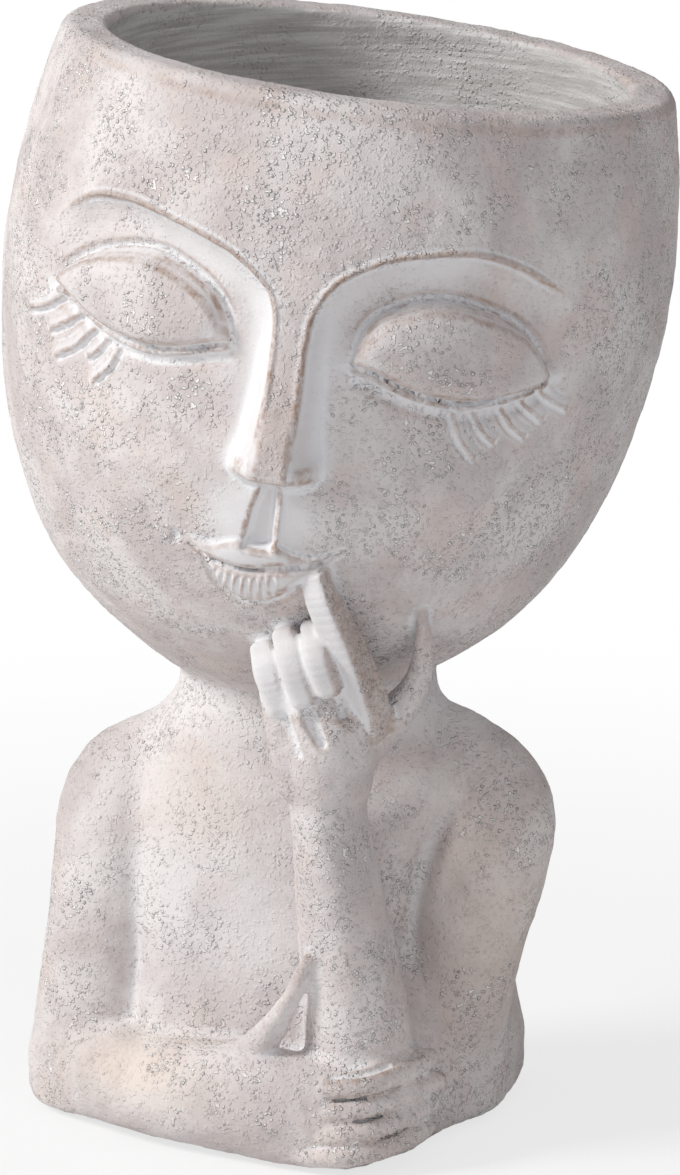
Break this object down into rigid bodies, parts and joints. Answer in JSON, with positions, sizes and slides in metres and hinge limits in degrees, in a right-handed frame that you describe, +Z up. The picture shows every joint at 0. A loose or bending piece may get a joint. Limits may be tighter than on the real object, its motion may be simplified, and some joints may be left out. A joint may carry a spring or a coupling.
{
  "type": "head planter",
  "caption": "Cast cement planter in the form of a pensive head with closed eyes on a small bust with folded arms, with a drain stopper.",
  "frame": {"origin": "middle of the overall box in plan, at the underside of the foot pads", "axes": "+Z up, -Y towards the front of the face, +X to the viewer's right"},
  "size_m": [0.1374, 0.1438, 0.2308],
  "materials": {
    "cement": "whitewashed pitted cement with brown worn edges",
    "stopper_rubber": "matt moulded rubber",
    "pad_felt": "pressed wool felt"
  },
  "bodies": {
    "casting": {"head_pot": "cement", "bust": "cement", "raised_forearm": "cement", "raised_hand": "cement", "index_finger": "cement", "folded_forearm": "cement", "folded_hand": "cement", "foot_pad_front_left": "pad_felt", "foot_pad_front_right": "pad_felt", "foot_pad_rear_left": "pad_felt", "foot_pad_rear_right": "pad_felt"},
    "stopper": {"drain_stopper": "stopper_rubber"}
  },
  "joints": [
    {"name": "stopper_pull", "type": "slide", "parent": "casting", "child": "stopper", "axis": [0.1426, 0, 0.9898], "range_m": [0, 0.06]}
  ]
}
